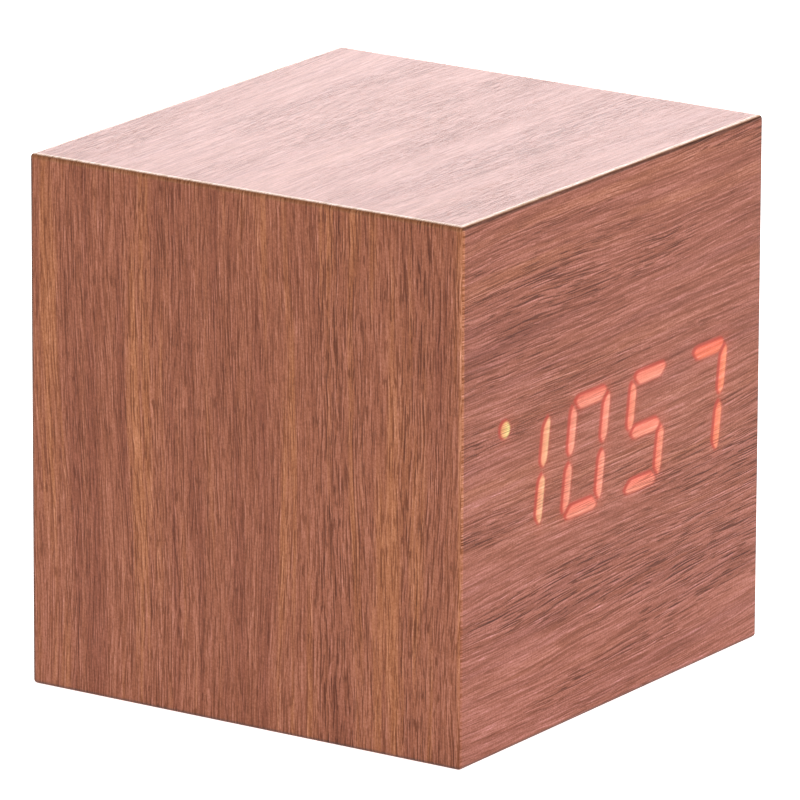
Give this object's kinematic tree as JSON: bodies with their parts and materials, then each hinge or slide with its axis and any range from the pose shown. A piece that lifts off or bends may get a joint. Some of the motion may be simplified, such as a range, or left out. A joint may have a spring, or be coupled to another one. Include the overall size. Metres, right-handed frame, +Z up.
{
  "type": "wooden cube alarm clock",
  "caption": "Small cube-shaped alarm clock in walnut veneer with glowing digits behind the front face, rear buttons, sound switch and a battery door.",
  "frame": {"origin": "centre of the bounding box's bottom face, on the surface the clock stands on", "axes": "+X to the right as seen from the front, -Y out of the display face, +Y to the rear, +Z up"},
  "size_m": [0.064, 0.06, 0.064],
  "materials": {
    "walnut_front": "satin oiled walnut veneer, grain along the width",
    "walnut_top": "satin oiled walnut veneer, grain along the width",
    "walnut_left": "satin oiled walnut veneer, grain upright",
    "walnut_right": "satin oiled walnut veneer, grain upright",
    "walnut_bottom": "satin oiled walnut veneer, grain along the width",
    "fibreboard": "raw medium fibreboard with sealed edges",
    "block_wood": "sawn softwood",
    "cover_plastic": "fine spark texture",
    "door_plastic": "fine spark texture",
    "button_plastic": "fine texture, lightly polished by use",
    "plunger_plastic": "smooth",
    "lever_plastic": "smooth",
    "tact_plastic": "smooth",
    "tact_steel": "tinned",
    "screw_steel": "black zinc plated",
    "usb_steel": "plated",
    "gold_contact": "gold flash",
    "circuit_board": "solder mask",
    "can_metal": "drawn can",
    "bead": "dipped resin",
    "cell_steel": "nickel plated",
    "cell_jacket": "printed shrink film without marks",
    "contact_steel": "nickel plated",
    "wire_red": "extruded sleeve",
    "wire_black": "extruded sleeve",
    "wire_grey": "extruded sleeve",
    "plug_plastic": "smooth nylon",
    "spacer_plastic": "smooth nylon",
    "display_plastic": "painted face",
    "display_board": "bare laminate",
    "led_chip": "bare die",
    "segment_clear": "diffusing resin, unlit",
    "segment_lit": "diffusing resin, lit",
    "indicator_lit": "diffusing resin, lit",
    "chip_plastic": "moulded epoxy",
    "buzzer_plastic": "moulded",
    "capacitor_sleeve": "shrink sleeve",
    "chip_ceramic": "glazed chip"
  },
  "bodies": {
    "case": {"backup_cell": "cell_steel", "backup_holder": "tact_plastic", "battery_lead_black": "wire_black", "battery_lead_red": "wire_red", "board_bottom": "fibreboard", "board_front": "fibreboard", "board_left": "fibreboard", "board_right": "fibreboard", "board_spacers": "spacer_plastic", "board_top": "fibreboard", "buzzer": "buzzer_plastic", "capacitor": "capacitor_sleeve", "cell_jackets": "cell_jacket", "cell_lower": "cell_steel", "cell_middle": "cell_steel", "cell_upper": "cell_steel", "chip_resistors": "chip_ceramic", "clock_chip": "chip_plastic", "contact_plates": "contact_steel", "contact_springs": "contact_steel", "control_board": "circuit_board", "control_board_screws": "screw_steel", "controller_chip": "chip_plastic", "corner_blocks": "block_wood", "cover_screws": "screw_steel", "crystal": "can_metal", "display_housing": "display_plastic", "display_pins": "contact_steel", "display_substrate": "display_board", "indicator_dot": "indicator_lit", "led_chips": "led_chip", "link_wires": "wire_grey", "main_board": "circuit_board", "main_board_screws": "screw_steel", "microphone": "can_metal", "rear_cover": "cover_plastic", "segments_lit": "segment_lit", "segments_unlit": "segment_clear", "switch_base": "tact_plastic", "switch_frame": "tact_steel", "tact_housings": "tact_plastic", "tact_plates": "tact_steel", "thermistor": "bead", "usb_contacts": "gold_contact", "usb_shell": "usb_steel", "usb_tongue": "tact_plastic", "veneer_bottom": "walnut_bottom", "veneer_front": "walnut_front", "veneer_left": "walnut_left", "veneer_right": "walnut_right", "veneer_top": "walnut_top", "wire_plugs": "plug_plastic"},
    "set_key": {"set_button": "button_plastic", "set_plunger": "plunger_plastic"},
    "up_key": {"up_button": "button_plastic", "up_plunger": "plunger_plastic"},
    "down_key": {"down_button": "button_plastic", "down_plunger": "plunger_plastic"},
    "sound_slider": {"switch_lever": "lever_plastic"},
    "door": {"battery_door": "door_plastic"}
  },
  "joints": [
    {"name": "set_press", "type": "slide", "parent": "case", "child": "set_key", "axis": [0, -1, 0], "range_m": [0, 0.0005], "stiffness_N_per_m": 4000, "springref_m": -0.0001},
    {"name": "up_press", "type": "slide", "parent": "case", "child": "up_key", "axis": [0, -1, 0], "range_m": [0, 0.0005], "stiffness_N_per_m": 4000, "springref_m": -0.0001},
    {"name": "down_press", "type": "slide", "parent": "case", "child": "down_key", "axis": [0, -1, 0], "range_m": [0, 0.0005], "stiffness_N_per_m": 4000, "springref_m": -0.0001},
    {"name": "sound_slide", "type": "slide", "parent": "case", "child": "sound_slider", "axis": [1, 0, 0], "range_m": [0, 0.002]},
    {"name": "door_hinge", "type": "hinge", "parent": "case", "child": "door", "pos_m": [0, 0.02835, 0.01135], "axis": [-1, 0, 0], "range_deg": [0, 70]}
  ]
}
